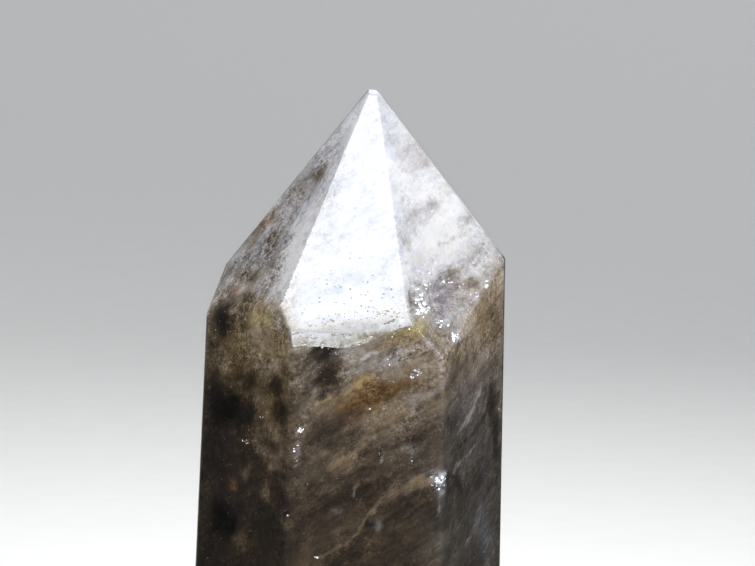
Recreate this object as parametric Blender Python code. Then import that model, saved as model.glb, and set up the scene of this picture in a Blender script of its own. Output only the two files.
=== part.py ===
"""Quartz point: one crystal of smoky, cloudy quartz, cut and polished as a standing six-sided tower.

The solid is the space inside a set of flat facets, with every edge rolled to a small radius.
Metres, +Z up. The origin lies on the base, on the axis of the prism, and the front looks to -Y.
"""

import math
from itertools import combinations

import bmesh
import bpy
import numpy as np

MM = 0.001

# Facet distances are measured from this height on the axis, just below the shoulders.
SHOULDER_HEIGHT = 60.0 * MM

# Each facet: azimuth from the front towards +X, slope from the horizontal, distance.
PRISM_FACETS = {
    "front": (5.5, 89.8, 18.7 * MM),
    "front_left": (-53.5, 89.6, 18.3 * MM),
    "front_right": (65.5, 88.6, 18.4 * MM),
    "back_left": (-113.5, 88.8, 18.2 * MM),
    "back_right": (124.5, 89.8, 18.1 * MM),
    "back": (-174.0, 89.2, 18.5 * MM),
}
POINT_FACETS = {
    "point_front": (-0.8, 55.3, 20.7 * MM),
    "point_right": (45.5, 58.4, 20.6 * MM),
    "point_left": (-60.0, 55.8, 20.8 * MM),
    "point_back_left": (-120.0, 57.4, 22.6 * MM),
    "point_back_right": (101.0, 51.6, 26.8 * MM),
    "point_back": (180.0, 58.0, 24.1 * MM),
}

# The polish ends in a dull ground ledge under the front facet of the point, and the tip is worn.
LEDGE_AZIMUTH = 3.4
LEDGE_SLOPE = 80.0
LEDGE_THROUGH = (-3.9 * MM, -19.1 * MM, 67.5 * MM)
TIP_AZIMUTH = 0.0
TIP_SLOPE = 30.0
TIP_THROUGH = (1.2 * MM, 2.1 * MM, 99.5 * MM)

BASE_CHAMFER = 0.8 * MM
EDGE_RADIUS = 0.15 * MM
EDGE_STEPS = 4

# Corners that lie outside a facet by less than this still count as on it.
CORNER_TOLERANCE = 1.0e-9
# Three facets whose normals span less than this meet in no usable corner.
LEAST_SPAN = 1.0e-3
FLAT_ANGLE = math.radians(0.05)
SMOOTH_ANGLE = math.radians(20.0)

SMOKY_QUARTZ = (0.16, 0.12, 0.085, 1.0)
QUARTZ_IOR = 1.544


def clear_scene():
    """Removes every object that the file starts with."""
    for thing in list(bpy.data.objects):
        bpy.data.objects.remove(thing, do_unlink=True)


def facet_normal(azimuth, slope):
    """The outward direction of a facet, from its two angles in degrees."""
    turn = math.radians(azimuth)
    lean = math.radians(slope)
    return np.array([math.sin(turn) * math.sin(lean), -math.cos(turn) * math.sin(lean), math.cos(lean)])


def facet_through(azimuth, slope, point):
    """A facet as its normal and its distance from the world's origin, through a point."""
    normal = facet_normal(azimuth, slope)
    return normal, float(normal @ np.array(point))


def facet_at(azimuth, slope, distance):
    """A facet at a distance from the axis point at shoulder height."""
    normal = facet_normal(azimuth, slope)
    return normal, distance + float(normal[2]) * SHOULDER_HEIGHT


def base_facets():
    """The flat base and the small chamfer where each prism facet meets it."""
    facets = [(np.array([0.0, 0.0, -1.0]), 0.0)]
    for azimuth, slope, distance in PRISM_FACETS.values():
        normal, reach = facet_at(azimuth, slope, distance)
        foot = reach / math.hypot(normal[0], normal[1])
        outwards = np.array([normal[0], normal[1], 0.0]) / math.hypot(normal[0], normal[1])
        corner = outwards * (foot - BASE_CHAMFER)
        facets.append(facet_through(azimuth, 135.0, corner))
    return facets


def all_facets():
    """Every facet of the crystal: prism, point, ledge, tip, base and chamfers."""
    facets = [facet_at(*values) for values in PRISM_FACETS.values()]
    facets += [facet_at(*values) for values in POINT_FACETS.values()]
    facets.append(facet_through(LEDGE_AZIMUTH, LEDGE_SLOPE, LEDGE_THROUGH))
    facets.append(facet_through(TIP_AZIMUTH, TIP_SLOPE, TIP_THROUGH))
    return facets + base_facets()


def corners_inside(facets, inset):
    """The corners of the solid with every facet moved in by inset, each with its three facets' normals."""
    normals = np.array([normal for normal, _ in facets])
    reaches = np.array([reach for _, reach in facets]) - inset
    corners = []
    for trio in combinations(range(len(facets)), 3):
        rows = normals[list(trio)]
        if abs(np.linalg.det(rows)) < LEAST_SPAN:
            continue
        corner = np.linalg.solve(rows, reaches[list(trio)])
        if np.all(normals @ corner <= reaches + CORNER_TOLERANCE):
            corners.append((corner, rows))
    return corners


def rolled_corner(corner, normals):
    """Points of a small ball round a corner, between the normals of the facets that meet there."""
    points = []
    for first in range(EDGE_STEPS + 1):
        for second in range(EDGE_STEPS + 1 - first):
            third = EDGE_STEPS - first - second
            direction = first * normals[0] + second * normals[1] + third * normals[2]
            points.append(corner + EDGE_RADIUS * direction / np.linalg.norm(direction))
    return points


def crystal_mesh():
    """The hull of the balls in all corners: flat facets joined by rolled edges."""
    shape = bmesh.new()
    for corner, normals in corners_inside(all_facets(), EDGE_RADIUS):
        for point in rolled_corner(corner, normals):
            shape.verts.new(point)
    bmesh.ops.remove_doubles(shape, verts=shape.verts[:], dist=0.001 * MM)
    bmesh.ops.convex_hull(shape, input=shape.verts[:], use_existing_faces=False)
    loose = [vertex for vertex in shape.verts if not vertex.link_faces]
    bmesh.ops.delete(shape, geom=loose, context="VERTS")
    bmesh.ops.dissolve_limit(
        shape, angle_limit=FLAT_ANGLE, verts=shape.verts[:], edges=shape.edges[:], use_dissolve_boundaries=False
    )
    bmesh.ops.recalc_face_normals(shape, faces=shape.faces[:])
    mesh = bpy.data.meshes.new("quartz_point")
    shape.to_mesh(mesh)
    shape.free()
    mesh.shade_smooth()
    mesh.set_sharp_from_angle(angle=SMOOTH_ANGLE)
    return mesh


def quartz_material():
    """Clear glassy quartz, smoky brown, with a bright polish."""
    material = bpy.data.materials.new("smoky quartz, polished")
    material.use_nodes = True
    shader = material.node_tree.nodes["Principled BSDF"]
    shader.inputs["Base Color"].default_value = SMOKY_QUARTZ
    shader.inputs["Metallic"].default_value = 0.0
    shader.inputs["Roughness"].default_value = 0.04
    shader.inputs["IOR"].default_value = QUARTZ_IOR
    shader.inputs["Transmission Weight"].default_value = 0.6
    return material


def build():
    clear_scene()
    crystal = bpy.data.objects.new("quartz_point", crystal_mesh())
    crystal.data.materials.append(quartz_material())
    bpy.context.scene.collection.objects.link(crystal)
    return crystal


build()
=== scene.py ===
"""A quartz point on a pale studio floor: smoky, cloudy quartz, cut and polished as a six-sided tower.

The crystal's clear skin follows the flat facets of the frame. Inside it lie a smoky cloud, milky
veils, iron stains and bright fractures, each placed where the photograph shows it. Metres, +Z up.
"""

import math
from itertools import combinations

import bmesh
import bpy
import numpy as np
from mathutils import Matrix


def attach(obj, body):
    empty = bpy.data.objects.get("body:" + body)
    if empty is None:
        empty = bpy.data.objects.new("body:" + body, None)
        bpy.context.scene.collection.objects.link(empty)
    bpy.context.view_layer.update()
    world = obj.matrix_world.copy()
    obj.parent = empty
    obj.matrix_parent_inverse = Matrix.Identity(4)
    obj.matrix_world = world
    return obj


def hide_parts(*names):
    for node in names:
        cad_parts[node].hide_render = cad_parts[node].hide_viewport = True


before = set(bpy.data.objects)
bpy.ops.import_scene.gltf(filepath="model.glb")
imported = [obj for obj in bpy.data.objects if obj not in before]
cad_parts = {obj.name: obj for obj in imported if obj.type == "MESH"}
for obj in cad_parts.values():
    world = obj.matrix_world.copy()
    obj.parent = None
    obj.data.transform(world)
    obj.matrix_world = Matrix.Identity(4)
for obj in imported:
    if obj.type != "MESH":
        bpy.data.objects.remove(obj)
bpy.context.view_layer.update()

MM = 0.001

# The photograph's frame in pixels, and the camera that sees the crystal as it does.
PHOTO_WIDTH = 755
PHOTO_HEIGHT = 566
PIXEL = 0.1395 * MM
CAMERA_DISTANCE = 450 * MM
CAMERA_TARGET = np.array([2.82, 0.0, 73.38]) * MM
CAMERA_ELEVATION = 6.0
CAMERA_ROLL = 1.89
SENSOR_WIDTH = 36.0

# The facets: azimuth from the front towards +X, slope from the horizontal, and distance
# from the point on the axis at shoulder height.
SHOULDER_HEIGHT = 60.0 * MM
FACETS = {
    "front": (5.5, 89.8, 18.7),
    "front_left": (-53.5, 89.6, 18.3),
    "front_right": (65.5, 88.6, 18.4),
    "back_left": (-113.5, 88.8, 18.2),
    "back_right": (124.5, 89.8, 18.1),
    "back": (-174.0, 89.2, 18.5),
    "point_front": (-0.8, 55.3, 20.7),
    "point_right": (45.5, 58.4, 20.6),
    "point_left": (-60.0, 55.8, 20.8),
    "point_back_left": (-120.0, 57.4, 22.6),
    "point_back_right": (101.0, 51.6, 26.8),
    "point_back": (180.0, 58.0, 24.1),
}
PRISM = ("front", "front_left", "front_right", "back_left", "back_right", "back")
LEDGE = (3.4, 80.0, (-3.9, -19.1, 67.5))
TIP = (0.0, 30.0, (1.2, 2.1, 99.5))
BASE_CHAMFER = 0.8 * MM
CHAMFER_SLOPE = 135.0
EDGE_RADIUS = 0.15 * MM
EDGE_STEPS = 4
# Three facets whose normals span less than this meet in no usable corner.
LEAST_SPAN = 1.0e-3
# Corners that lie outside a facet by less than this still count as on it.
CORNER_TOLERANCE = 1.0e-9
# Points of the skin that lie nearer to each other than this are one.
WELD_DISTANCE = 0.002 * MM

QUARTZ_IOR = 1.544

# The ledge is near white above the second of these heights, partly as painted highlight that
# carries on the softbox that the front facet of the point mirrors, and stained below the first,
# both measured at the axis, level with its upper border.
LEDGE_LEVELS = (67.9 * MM, 69.1 * MM)


def unit(ways):
    """The same directions, each of length one."""
    return ways / np.linalg.norm(ways, axis=-1, keepdims=True)


def facet_normal(azimuth, slope):
    """The outward direction of a facet from its two angles in degrees."""
    turn, lean = math.radians(azimuth), math.radians(slope)
    return np.array([math.sin(turn) * math.sin(lean), -math.cos(turn) * math.sin(lean), math.cos(lean)])


def facet_planes():
    """Every facet's name, its unit normal and its distance from the origin."""
    planes = {}
    for name, (azimuth, slope, distance) in FACETS.items():
        normal = facet_normal(azimuth, slope)
        planes[name] = (normal, distance * MM + normal[2] * SHOULDER_HEIGHT)
    for name, (azimuth, slope, point) in (("ledge", LEDGE), ("tip", TIP)):
        normal = facet_normal(azimuth, slope)
        planes[name] = (normal, normal @ np.array(point) * MM)
    planes["base"] = (np.array([0.0, 0.0, -1.0]), 0.0)
    for name in PRISM:
        side, reach = planes[name]
        level = math.hypot(side[0], side[1])
        foot = np.array([side[0], side[1], 0.0]) / level * (reach / level - BASE_CHAMFER)
        normal = facet_normal(FACETS[name][0], CHAMFER_SLOPE)
        planes[name + "_chamfer"] = (normal, normal @ foot)
    normals, reaches = zip(*planes.values())
    return list(planes), np.array(normals), np.array(reaches)


NAMES, NORMALS, REACHES = facet_planes()


def normal_of(name):
    """A facet's outward direction, by the facet's name."""
    return NORMALS[NAMES.index(name)]


def nearest_normal(point):
    """The outward direction of the facet that a point lies nearest to."""
    return NORMALS[(REACHES - NORMALS @ point).argmin()]


def inset_corners(inset):
    """The corners of the solid with every facet moved in by inset, each with its three facets."""
    reaches = REACHES - inset
    corners = []
    for trio in combinations(range(len(NAMES)), 3):
        rows = NORMALS[list(trio)]
        if abs(np.linalg.det(rows)) < LEAST_SPAN:
            continue
        corner = np.linalg.solve(rows, reaches[list(trio)])
        if np.all(NORMALS @ corner <= reaches + CORNER_TOLERANCE):
            corners.append((corner, trio))
    return corners


def summit(inset):
    """The highest point of the solid with every facet moved in by inset."""
    return max(inset_corners(inset), key=lambda corner: corner[0][2])[0]


def camera_axes():
    """The camera's place and its right, up and backward directions."""
    lift, roll = math.radians(CAMERA_ELEVATION), math.radians(CAMERA_ROLL)
    back = np.array([0.0, -math.cos(lift), math.sin(lift)])
    level = np.array([1.0, 0.0, 0.0])
    rise = np.array([0.0, math.sin(lift), math.cos(lift)])
    right = math.cos(roll) * level + math.sin(roll) * rise
    up = math.cos(roll) * rise - math.sin(roll) * level
    return CAMERA_TARGET + back * CAMERA_DISTANCE, right, up, back


def bent_ray(ray, normal, least_cosine=0.0):
    """The way in which light runs on through a facet into quartz, by Snell's law: its part along
    the facet shrinks by the index of quartz, and its part across makes up the length."""
    cosine = max(-float(normal @ ray), least_cosine)
    ratio = 1.0 / QUARTZ_IOR
    across = math.sqrt(1.0 - ratio * ratio * (1.0 - cosine * cosine))
    return ratio * ray + (ratio * cosine - across) * normal


def seen_at(column, row, depth):
    """The point that the photograph shows at a pixel, depth metres inside the crystal: on the
    camera's ray, bent at the facet that it meets."""
    eye, right, up, back = camera_axes()
    focal = CAMERA_DISTANCE / PIXEL
    ray = unit((column - PHOTO_WIDTH / 2) / focal * right - (row - PHOTO_HEIGHT / 2) / focal * up - back)
    facing = NORMALS @ ray
    reach = (REACHES - NORMALS @ eye) / facing
    entry = np.where(facing < 0, reach, -np.inf).argmax()
    return eye + ray * reach[entry] + bent_ray(ray, NORMALS[entry]) * depth


def make_object(name, vertices, faces, materials, smooth=True):
    """A mesh object at the origin, with its materials."""
    mesh = bpy.data.meshes.new(name)
    mesh.from_pydata(np.asarray(vertices).reshape(-1, 3).tolist(), [], faces)
    mesh.polygons.foreach_set("use_smooth", np.full(len(mesh.polygons), smooth))
    for material in materials:
        mesh.materials.append(material)
    mesh.update()
    thing = bpy.data.objects.new(name, mesh)
    bpy.context.scene.collection.objects.link(thing)
    return thing


def on_crystal(piece):
    """Declares a piece as part of the crystal."""
    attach(piece, "root")
    return piece


def ring_faces(here, there, closed=True):
    """Quads between two rows of vertex numbers, from the last back to the first if closed."""
    if closed:
        quads = np.stack([here, np.roll(here, -1), np.roll(there, -1), there], axis=-1)
    else:
        quads = np.stack([here[:-1], here[1:], there[1:], there[:-1]], axis=-1)
    return quads.tolist()


def cone_faces(ring, centre):
    """Triangles from a closed row of vertex numbers to one vertex."""
    return np.stack([ring, np.roll(ring, -1), np.full(len(ring), centre)], axis=-1).tolist()


def disc_faces(rows, around):
    """Faces of a disc of rows rings of around vertices each, ring by ring to one centre vertex."""
    numbers = np.arange(rows * around).reshape(rows, around)
    faces = []
    for ring in range(rows - 1):
        faces += ring_faces(numbers[ring], numbers[ring + 1])
    return faces + cone_faces(numbers[-1], rows * around)


# Skin

# Edges that sag: how far, and as shares of their length where the lowest place is and how wide.
SAGGING_EDGES = {
    frozenset(("point_front", "ledge")): (0.75 * MM, 0.42, 0.30),
    frozenset(("ledge", "front")): (1.5 * MM, 0.50, 0.30),
}
EDGE_SPACING = 0.35 * MM
# A flat facet's rings, as shares of the way from its middle to its rim.
RIM_ROWS = (1.0, 0.985, 0.94, 0.85, 0.7, 0.5, 0.3, 0.15)


def edge_line(start, end, pair):
    """Points along an inset edge. Where the ledge's wear makes it sag it is moved down its facet, by
    a bell round the lowest place times a flattened half sine wave, which holds both ends."""
    count = max(2, int(np.linalg.norm(end - start) / EDGE_SPACING))
    line = start + (end - start) * np.linspace(0.0, 1.0, count + 1)[:, None]
    key = frozenset((NAMES[pair[0]], NAMES[pair[1]]))
    if key in SAGGING_EDGES:
        amount, middle, spread = SAGGING_EDGES[key]
        across = line[:, 0:1]
        place = (across - across.min()) / (across.max() - across.min())
        flat = normal_of("front" if "front" in key else "point_front")
        downhill = np.array([0.0, 0.0, -1.0]) + flat * flat[2]
        bow = np.exp(-(((place - middle) / spread) ** 2)) * np.sin(math.pi * place) ** 0.6
        line = line + unit(downhill) * amount * bow
    return line


def rolled_edge(line, normals):
    """The rounded strip along an inset edge, between the normals of its two facets."""
    arc = np.linspace(0.0, 1.0, EDGE_STEPS + 1)
    fan = unit(np.stack([1.0 - arc, arc], axis=-1) @ normals)
    grid = line[:, None, :] + EDGE_RADIUS * fan[None, :, :]
    numbers = np.arange(grid.shape[0] * grid.shape[1]).reshape(grid.shape[:2])
    faces = []
    for row in range(len(line) - 1):
        faces += ring_faces(numbers[row], numbers[row + 1], closed=False)
    return grid.reshape(-1, 3), faces


def rolled_corner(corner, normals):
    """The rounded cap on an inset corner, between the normals of its three facets."""
    vertices, faces, numbers = [], [], {}
    for a in range(EDGE_STEPS + 1):
        for b in range(EDGE_STEPS + 1 - a):
            numbers[(a, b)] = len(vertices)
            weights = np.array([[a, b, EDGE_STEPS - a - b]], float)
            vertices.append(corner + EDGE_RADIUS * unit(weights @ normals)[0])
    for a, b in numbers:
        if (a + 1, b) in numbers and (a, b + 1) in numbers:
            faces.append([numbers[(a, b)], numbers[(a + 1, b)], numbers[(a, b + 1)]])
        if (a + 1, b) in numbers and (a + 1, b - 1) in numbers:
            faces.append([numbers[(a, b)], numbers[(a + 1, b - 1)], numbers[(a + 1, b)]])
    return np.array(vertices), faces


def skin_patches():
    """The rolled edges, rolled corners and flat facets of the skin, as (vertices, faces, finish).
    The edges round the ledge are ground as the ledge is."""
    corners = inset_corners(EDGE_RADIUS)
    patches, edges = [], {}
    for (i, (first, trio)), (j, (second, other)) in combinations(list(enumerate(corners)), 2):
        shared = sorted(set(trio) & set(other))
        if len(shared) == 2:
            edges[(i, j)] = (edge_line(first, second, shared), shared)
    for line, shared in edges.values():
        finish = "ledge" if NAMES.index("ledge") in shared else "edge"
        patches.append((*rolled_edge(line, NORMALS[shared]), finish))
    for corner, trio in corners:
        patches.append((*rolled_corner(corner, NORMALS[list(trio)]), "corner"))
    for facet, name in enumerate(NAMES):
        patches.append((*flat_patch(facet, edges), name))
    return patches


def flat_patch(facet, edges):
    """One flat facet: rings from its rim to its middle, which meet the rolled edges point by point."""
    lines = {pair: line for pair, (line, shared) in edges.items() if facet in shared}
    start = next(iter(lines))
    chain, here, used = [lines[start][:-1]], start[1], {start}
    while len(used) < len(lines):
        pair = next(p for p in lines if p not in used and here in p)
        line = lines[pair] if pair[0] == here else lines[pair][::-1]
        chain.append(line[:-1])
        here = pair[1] if pair[0] == here else pair[0]
        used.add(pair)
    rim = np.concatenate(chain) + EDGE_RADIUS * NORMALS[facet]
    centre = rim.mean(axis=0)
    rings = centre + (rim - centre)[None] * np.array(RIM_ROWS)[:, None, None]
    vertices = np.concatenate([rings.reshape(-1, 3), centre[None]])
    return vertices, disc_faces(len(RIM_ROWS), len(rim))


def crystal_skin(polished, ground):
    """The closed skin of the crystal, with the ledge and the tip in their own ground finish."""
    vertices, faces, finish, count = [], [], [], 0
    for points, patch, name in skin_patches():
        vertices.append(points)
        faces += [[number + count for number in face] for face in patch]
        finish += [1 if name in ("ledge", "tip") else 0] * len(patch)
        count += len(points)
    skin = make_object("quartz_skin", np.concatenate(vertices), faces, [polished, ground])
    skin.data.polygons.foreach_set("material_index", finish)
    shape = bmesh.new()
    shape.from_mesh(skin.data)
    bmesh.ops.remove_doubles(shape, verts=shape.verts[:], dist=WELD_DISTANCE)
    bmesh.ops.recalc_face_normals(shape, faces=shape.faces[:])
    shape.to_mesh(skin.data)
    shape.free()
    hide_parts("quartz_point")
    return on_crystal(skin)


# Materials

# A noise's scale is its number of cells in a metre: 260 gives patches of 4 mm, 1300 blotches of
# 0.8 mm and 5000 grains of 0.2 mm. Real dust and bubbles are finer, and are drawn this coarse
# because a pixel of the picture spans 0.14 mm.

# The brown of the clear quartz, and how much of it a metre holds.
SMOKE_BROWN = "#d8ccbb"
SMOKE_DENSITY = 60.0


def linear(code):
    """An sRGB hex colour as linear red, green, blue and alpha."""
    parts = [int(code[i : i + 2], 16) / 255 for i in (1, 3, 5)]
    return (*[p / 12.92 if p <= 0.04045 else ((p + 0.055) / 1.055) ** 2.4 for p in parts], 1.0)


def new_material(name):
    """An empty node material and its tree."""
    material = bpy.data.materials.new(name)
    material.use_nodes = True
    material.node_tree.nodes.clear()
    return material, material.node_tree


def add(tree, kind, settings=None, **inputs):
    """One node: its settings, and its inputs as values or as links from other nodes, a whole node
    standing for its first output. An input goes by its name, or by i and its number."""
    node = tree.nodes.new("ShaderNode" + kind)
    for key, value in (settings or {}).items():
        setattr(node, key, value)
    for key, value in inputs.items():
        numbered = key[0] == "i" and key[1:].isdigit()
        socket = node.inputs[int(key[1:]) if numbered else key.replace("_", " ")]
        if isinstance(value, bpy.types.Node):
            value = value.outputs[0]
        if isinstance(value, bpy.types.NodeSocket):
            tree.links.new(value, socket)
        else:
            socket.default_value = value
    return node


def polished_quartz():
    """Quartz polished on a felt wheel: clear, sharp mirror-like facets over a smoky brown depth."""
    material, tree = new_material("smoky quartz, polished")
    shader = add(
        tree,
        "BsdfPrincipled",
        Base_Color=(1.0, 1.0, 1.0, 1.0),
        Roughness=0.0,
        IOR=QUARTZ_IOR,
        Transmission_Weight=1.0,
    )
    smoke = add(tree, "VolumeAbsorption", Color=linear(SMOKE_BROWN), Density=SMOKE_DENSITY)
    add(tree, "OutputMaterial", Surface=shader, Volume=smoke)
    return material


def ground_quartz():
    """Quartz left from the grinding wheel: a dull, frosted surface, near white where it meets the
    polish and pale grey with tan stains below. The near white is partly painted highlight, which
    carries on the softbox that the front facet of the point mirrors. The white grows with the
    height above the border line, and two noises, of 0.8 and 4 mm, break it up."""
    material, tree = new_material("smoky quartz, ground")
    place = add(tree, "TexCoord").outputs["Object"]
    border = np.cross(normal_of("point_front"), normal_of("ledge"))
    fall = (-border[2] / border[0], 0.0, 1.0)
    level = add(tree, "VectorMath", {"operation": "DOT_PRODUCT"}, i0=place, i1=fall).outputs["Value"]
    low, high = LEDGE_LEVELS
    # Painted highlight: white that grows towards the polish border.
    white = add(tree, "MapRange", Value=level, From_Min=low, From_Max=high, To_Max=0.22)
    fine = add(tree, "TexNoise", Vector=place, Scale=1300.0, Detail=6.0, Roughness=0.7)
    broad = add(tree, "TexNoise", Vector=place, Scale=260.0, Detail=2.0)
    blotches = add(tree, "Math", {"operation": "MULTIPLY_ADD"}, i0=broad, i1=0.5, i2=fine)
    spread = add(tree, "Math", {"operation": "ADD"}, i0=blotches, i1=white)
    ramp = add(tree, "ValToRGB", Fac=spread)
    for element, (position, code) in zip(ramp.color_ramp.elements, ((0.6, "#625a4c"), (0.98, "#c0c3c9"))):
        element.position = position
        element.color = linear(code)
    for position, code in ((0.68, "#857e71"), (0.78, "#a09e98")):
        ramp.color_ramp.elements.new(position).color = linear(code)
    shader = add(
        tree, "BsdfPrincipled", Base_Color=ramp, Roughness=0.6, IOR=QUARTZ_IOR, Transmission_Weight=0.1
    )
    smoke = add(tree, "VolumeAbsorption", Color=linear(SMOKE_BROWN), Density=SMOKE_DENSITY)
    add(tree, "OutputMaterial", Surface=shader, Volume=smoke)
    return material


def floor_material():
    """A matt painted board, pale and even, with a grain of 8 mm that hardly shows."""
    material, tree = new_material("painted board, matt")
    place = add(tree, "TexCoord").outputs["Object"]
    ramp = add(tree, "ValToRGB", Fac=add(tree, "TexNoise", Vector=place, Scale=120.0, Detail=4.0))
    for element, code in zip(ramp.color_ramp.elements, ("#d9d9d7", "#e0e0de")):
        element.color = linear(code)
    add(tree, "OutputMaterial", Surface=add(tree, "BsdfPrincipled", Base_Color=ramp, Roughness=0.7))
    return material


# Inside the crystal

# The growth layers: how steeply they rise to the right at heights, and to the back, their thickness
# as a share of their height on the axis, and how high and long their slow waves are.
LAYER_HEIGHTS = (30 * MM, 75 * MM)
LAYER_SLOPES = (0.80, 0.40)
LAYER_RISE_BACK = 0.30
LAYER_THICKNESS = 0.85
LAYER_WAVE = 0.8 * MM
LAYER_WAVE_LENGTH = 24 * MM

# The cloud lies this deep in the middle of a facet, and rises to the rim's depth at its edges, from
# the calm distance on. A gap and the swell of slow waves come on top.
PLACE_DEPTH = 0.9 * MM
RIM_DEPTH = 0.3 * MM
EDGE_CALM = 3.5 * MM
CLOUD_AROUND = 360
CLOUD_ROWS = 265
CLOUD_GAP = 0.15 * MM
CLOUD_SWELL = 1.0 * MM
CLOUD_CONTRAST = 5.0
# How far, and over what length, waves push cloudy outlines about.
FRAY_PUSH = 0.6 * MM
FRAY_LENGTH = 5 * MM
# How steeply a cloud ends at its rim, as a power.
CLOUD_FALL = 1.4
# Flecks that break up the wisps, 1.3 mm along the growth layers and 0.6 mm across, as noise scales.
VEIL_FLECKS = (800.0, 800.0, 1700.0)

# Rings round the axis: it leans to the summit from the height of the bend. Facets that face a ray
# by less than the least slant don't stop it, and their distances blend by this high a power.
SUMMIT = summit(RIM_DEPTH)
SUMMIT_GAP = 0.02 * MM
AXIS_BEND = 80 * MM
LEAST_SLANT = 0.02
LEAST_RADIUS = 0.01 * MM
BLEND_POWER = 120.0
# Over what distance the normals and the tones of neighbouring facets blend.
NORMAL_BLEND = 0.5 * MM
TONE_BLEND = 0.6 * MM

# The sides that the photograph doesn't show, in degrees from the front, and what lies there.
HIDDEN_SIDES = (100.0, 272.0)
HIDDEN_CLOUDS = 130
HIDDEN_GLINTS = 45
# Millimetres above the base from which the crystal is pale.
PALE_HEIGHT = 66.0

# Healed cracks: their number, points along and across each, their usual length in millimetres and
# the heights that they keep to. Their outer borders lie this many millimetres below the skin.
FINS = 420
FIN_STEPS = 19
FIN_ROWS = 4
FIN_LENGTH = 4.0
FIN_HEIGHTS = (1.0 * MM, 97.5 * MM)
FIN_OUTER_DEPTH = 0.35
# The crystal's usual radius, and how far a fin may stray from its growth layer.
CRYSTAL_RADIUS = 18.0 * MM
FIN_STRAY = 0.6 * MM

# Specks: how many lie anywhere and how many more lie high up, from this height in millimetres,
# and their usual size in millimetres.
PLAIN_SPECKS = 6000
HIGH_SPECKS = 3000
HIGH_SPECKS_FROM = 62.0
SPECK_SIZE = 0.055

# Corners of the little polygons, and how their sizes vary round the usual one.
SPECK_CORNERS = 5
FLAKE_CORNERS = 7
FLAKE_SIZES = (0.4, 1.2)
# How unevenly flashing flakes are tilted, as a share of their normal.
FLAKE_TILT = 0.12
# How high the marks on the polish lie above it.
MARK_LIFT = 0.015 * MM

# Colours of what lies inside the crystal.
ICE = "#edf3ff"
MILK = "#f4f5f8"
SNOW = "#e1e5ec"
MIST = "#dadce3"
# Pale bluish white: milky veils, and painted highlight at flashes and along an edge.
FROST_AND_HIGHLIGHT = "#d2dded"
PEARL = "#bdbac0"
HAZE = "#a9a5a4"
DRAB = "#a1978b"
LAVENDER = "#8d8494"
# Painted highlight along polished edges.
LILAC_HIGHLIGHT = "#b6a4b0"
CREAM = "#ead8c2"
BEIGE = "#a08b70"
MUSHROOM = "#857662"
TAN = "#c4a676"
OLIVE = "#a9986a"
KHAKI = "#7c6947"
AMBER = "#6c4f2b"
RUST = "#54341e"
ROSE = "#c0978d"
STEEL = "#63656b"
GRAPHITE = "#48433d"
ASH = "#6d6661"
TAUPE = "#6c5f4f"
TEAK = "#54442d"
SMOKE = "#4a3e31"
BARK = "#362b1f"
PEAT = "#2c2114"
UMBER = "#231a12"
# Near black: painted shade, for the darkness seen through clear quartz.
DEEP_SHADE = "#0d0906"

# The cloud's colour under each facet at heights in millimetres, where nothing below changes it:
# smoky brown low down and milky high up, and darker low in the prism partly as painted shade,
# for light that falls from above. Under the front facet of the point it is near white even low
# down, partly as painted highlight that carries on the softbox which that facet mirrors.
TONES = {
    # Near white even low down, partly as painted highlight with the mirrored softbox.
    "point_front": ((66, MILK), (70, ICE), (74, SNOW), (100, SNOW)),
    "ledge": ((60, MIST), (67, MILK), (72, MILK)),
    "point_left": ((62, KHAKI), (69, DRAB), (76, HAZE), (86, PEARL), (96, MILK)),
    "point_right": ((66, MUSHROOM), (70, HAZE), (77, MIST), (100, MIST)),
    "front": ((34, BARK), (45, SMOKE), (55, TAUPE), (68, MUSHROOM)),
    "front_left": ((34, PEAT), (48, BARK), (56, TEAK), (66, KHAKI)),
    "front_right": ((30, GRAPHITE), (50, GRAPHITE), (60, ASH), (66, MUSHROOM), (74, BEIGE)),
    "back_left": ((10, UMBER), (40, BARK), (60, TAUPE), (75, HAZE)),
    "back_right": ((10, GRAPHITE), (40, SMOKE), (60, MUSHROOM), (75, HAZE)),
    "back": ((10, BARK), (40, SMOKE), (60, TAUPE), (75, MUSHROOM)),
    "point_back_left": ((64, TAUPE), (76, HAZE), (90, PEARL)),
    "point_back_right": ((64, MUSHROOM), (76, PEARL), (90, MIST)),
    "point_back": ((64, TAUPE), (76, HAZE), (90, MIST)),
}

# How grainy the cloud is under each facet at heights in millimetres.
GRAINS = {
    "point_front": ((66, 1.6), (76, 0.8)),
    "ledge": ((60, 2.0), (72, 2.0)),
    "point_left": ((62, 2.4), (68, 3.6), (100, 3.2)),
    "point_right": ((64, 2.4), (70, 2.6), (78, 1.8), (100, 1.6)),
    "front": ((34, 1.1), (50, 1.4), (66, 2.0)),
    "front_left": ((34, 1.8), (54, 1.7), (64, 2.2)),
    "front_right": ((34, 1.0), (54, 1.1), (70, 1.6)),
    "back_left": ((10, 1.0), (64, 2.0)),
    "back_right": ((10, 1.0), (64, 1.6)),
    "back": ((10, 1.0), (64, 1.8)),
    "point_back_left": ((64, 2.6), (90, 2.6)),
    "point_back_right": ((64, 2.2), (90, 2.2)),
    "point_back": ((64, 2.4), (90, 2.4)),
}
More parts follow.
